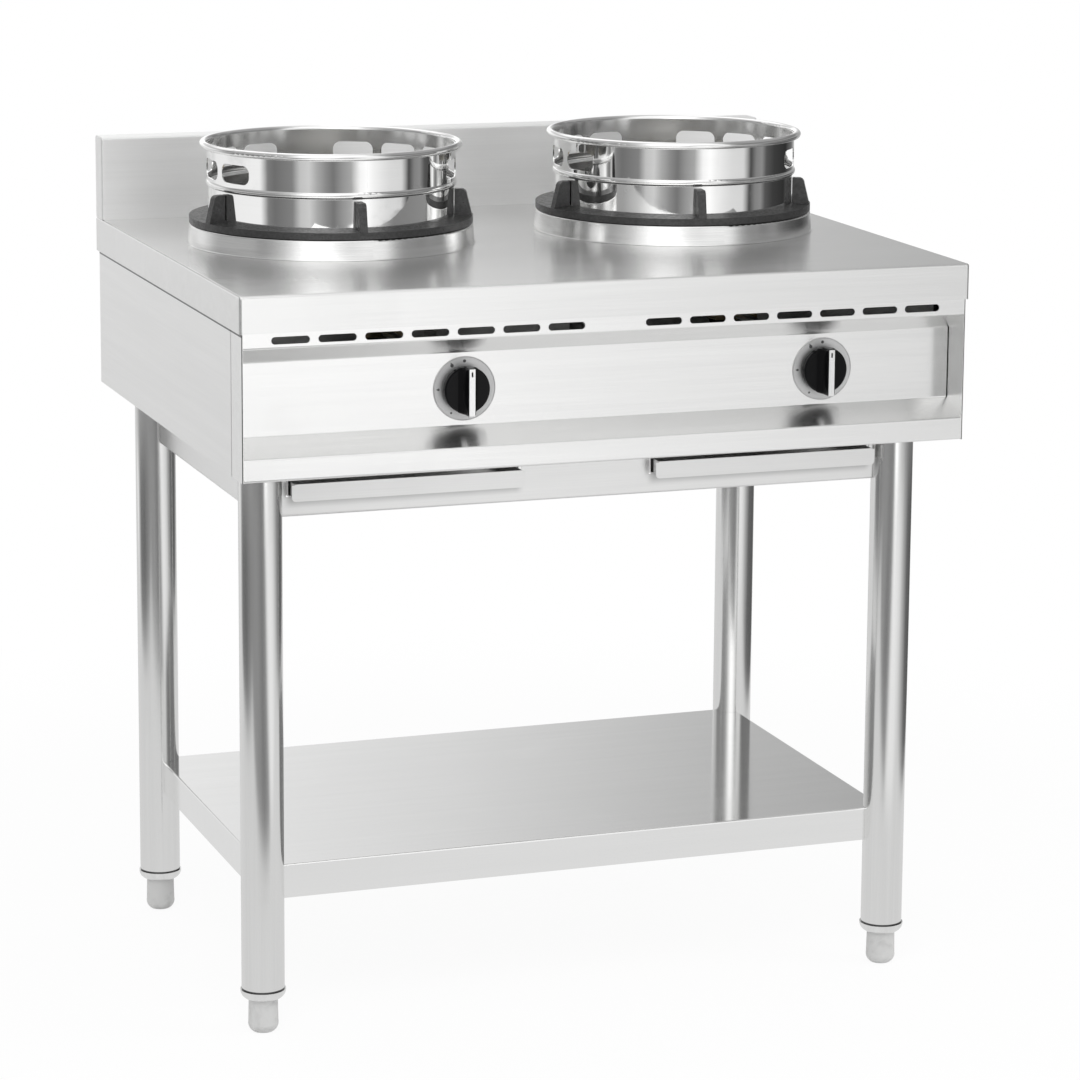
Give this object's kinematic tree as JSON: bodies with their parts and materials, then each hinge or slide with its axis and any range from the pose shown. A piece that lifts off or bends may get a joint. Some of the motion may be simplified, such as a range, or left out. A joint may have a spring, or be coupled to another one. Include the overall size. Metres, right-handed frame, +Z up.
{
  "type": "gas wok range",
  "caption": "Free-standing stainless wok range on round legs with an undershelf: burners with cast trivets and rolled wok rings, a set-back control panel and drip trays.",
  "frame": {"origin": "on the floor, under the centre of the worktop", "axes": "+X to the right as the cook faces the range, +Y to the back, +Z up"},
  "size_m": [0.9, 0.7, 1.0206],
  "materials": {
    "panel_steel": "fine satin grain",
    "stand_steel": "satin",
    "tray_steel": "satin",
    "collar_steel": "satin, spun",
    "ring_chrome": "polished",
    "black_iron": "black enamel over a cast surface",
    "burner_brass": "satin",
    "pipe_steel": "plain",
    "knob_black": "satin gloss",
    "silver_trim": "satin",
    "foot_grey": "satin grey"
  },
  "bodies": {
    "range_body": {"worktop": "panel_steel", "splashback": "panel_steel", "front_fascia": "panel_steel", "side_panel_left": "panel_steel", "side_panel_right": "panel_steel", "rear_panel": "panel_steel", "body_floor": "panel_steel", "panel_screws": "pipe_steel", "leg_front_left": "stand_steel", "leg_front_right": "stand_steel", "leg_rear_left": "stand_steel", "leg_rear_right": "stand_steel", "leg_inserts": "stand_steel", "apron_front": "stand_steel", "apron_rear": "stand_steel", "apron_left": "stand_steel", "apron_right": "stand_steel", "undershelf": "stand_steel", "shelf_stiffener": "stand_steel", "tray_runners": "stand_steel", "gas_manifold": "pipe_steel", "burner_collar_left": "collar_steel", "spill_bowl_left": "collar_steel", "burner_body_left": "black_iron", "burner_bridge_left": "tray_steel", "jet_holder_left": "burner_brass", "burner_pipe_left": "pipe_steel", "pilot_burner_left": "pipe_steel", "gas_valve_left": "burner_brass", "dial_plate_left": "silver_trim", "burner_collar_right": "collar_steel", "spill_bowl_right": "collar_steel", "burner_body_right": "black_iron", "burner_bridge_right": "tray_steel", "jet_holder_right": "burner_brass", "burner_pipe_right": "pipe_steel", "pilot_burner_right": "pipe_steel", "gas_valve_right": "burner_brass", "dial_plate_right": "silver_trim"},
    "valve_plug_left": {"valve_plug_left": "burner_brass"},
    "knob_left": {"knob_left": "knob_black", "knob_insert_left": "silver_trim", "spindle_left": "pipe_steel"},
    "valve_plug_right": {"valve_plug_right": "burner_brass"},
    "knob_right": {"knob_right": "knob_black", "knob_insert_right": "silver_trim", "spindle_right": "pipe_steel"},
    "drip_tray_left": {"drip_tray_left": "tray_steel"},
    "drip_tray_right": {"drip_tray_right": "tray_steel"},
    "trivet_left": {"trivet_left": "black_iron"},
    "wok_ring_left": {"wok_ring_left": "ring_chrome"},
    "burner_cap_left": {"burner_cap_left": "burner_brass"},
    "trivet_right": {"trivet_right": "black_iron"},
    "wok_ring_right": {"wok_ring_right": "ring_chrome"},
    "burner_cap_right": {"burner_cap_right": "burner_brass"},
    "foot_front_left": {"foot_front_left": "foot_grey"},
    "foot_front_right": {"foot_front_right": "foot_grey"},
    "foot_rear_left": {"foot_rear_left": "foot_grey"},
    "foot_rear_right": {"foot_rear_right": "foot_grey"}
  },
  "joints": [
    {"name": "knob_left_turn", "type": "hinge", "parent": "range_body", "child": "valve_plug_left", "pos_m": [-0.1705, -0.29, 0.769], "axis": [0, -1, 0], "range_deg": [0, 150]},
    {"name": "knob_left_push", "type": "slide", "parent": "valve_plug_left", "child": "knob_left", "axis": [0, 1, 0], "range_m": [0, 0.004], "stiffness_N_per_m": 800, "springref_m": -0.004},
    {"name": "knob_right_turn", "type": "hinge", "parent": "range_body", "child": "valve_plug_right", "pos_m": [0.2795, -0.29, 0.769], "axis": [0, -1, 0], "range_deg": [0, 150]},
    {"name": "knob_right_push", "type": "slide", "parent": "valve_plug_right", "child": "knob_right", "axis": [0, 1, 0], "range_m": [0, 0.004], "stiffness_N_per_m": 800, "springref_m": -0.004},
    {"name": "drip_tray_left_pull", "type": "slide", "parent": "range_body", "child": "drip_tray_left", "axis": [0, -1, 0], "range_m": [0, 0.42]},
    {"name": "drip_tray_right_pull", "type": "slide", "parent": "range_body", "child": "drip_tray_right", "axis": [0, -1, 0], "range_m": [0, 0.42]},
    {"name": "trivet_left_lift", "type": "slide", "parent": "range_body", "child": "trivet_left", "axis": [0, 0, 1], "range_m": [0, 0.1]},
    {"name": "wok_ring_left_lift", "type": "slide", "parent": "trivet_left", "child": "wok_ring_left", "axis": [0, 0, 1], "range_m": [0, 0.1]},
    {"name": "burner_cap_left_lift", "type": "slide", "parent": "range_body", "child": "burner_cap_left", "axis": [0, 0, 1], "range_m": [0, 0.15]},
    {"name": "trivet_right_lift", "type": "slide", "parent": "range_body", "child": "trivet_right", "axis": [0, 0, 1], "range_m": [0, 0.1]},
    {"name": "wok_ring_right_lift", "type": "slide", "parent": "trivet_right", "child": "wok_ring_right", "axis": [0, 0, 1], "range_m": [0, 0.1]},
    {"name": "burner_cap_right_lift", "type": "slide", "parent": "range_body", "child": "burner_cap_right", "axis": [0, 0, 1], "range_m": [0, 0.15]},
    {"name": "foot_front_left_adjust", "type": "slide", "parent": "range_body", "child": "foot_front_left", "axis": [0, 0, -1], "range_m": [0, 0.025]},
    {"name": "foot_front_right_adjust", "type": "slide", "parent": "range_body", "child": "foot_front_right", "axis": [0, 0, -1], "range_m": [0, 0.025]},
    {"name": "foot_rear_left_adjust", "type": "slide", "parent": "range_body", "child": "foot_rear_left", "axis": [0, 0, -1], "range_m": [0, 0.025]},
    {"name": "foot_rear_right_adjust", "type": "slide", "parent": "range_body", "child": "foot_rear_right", "axis": [0, 0, -1], "range_m": [0, 0.025]}
  ]
}
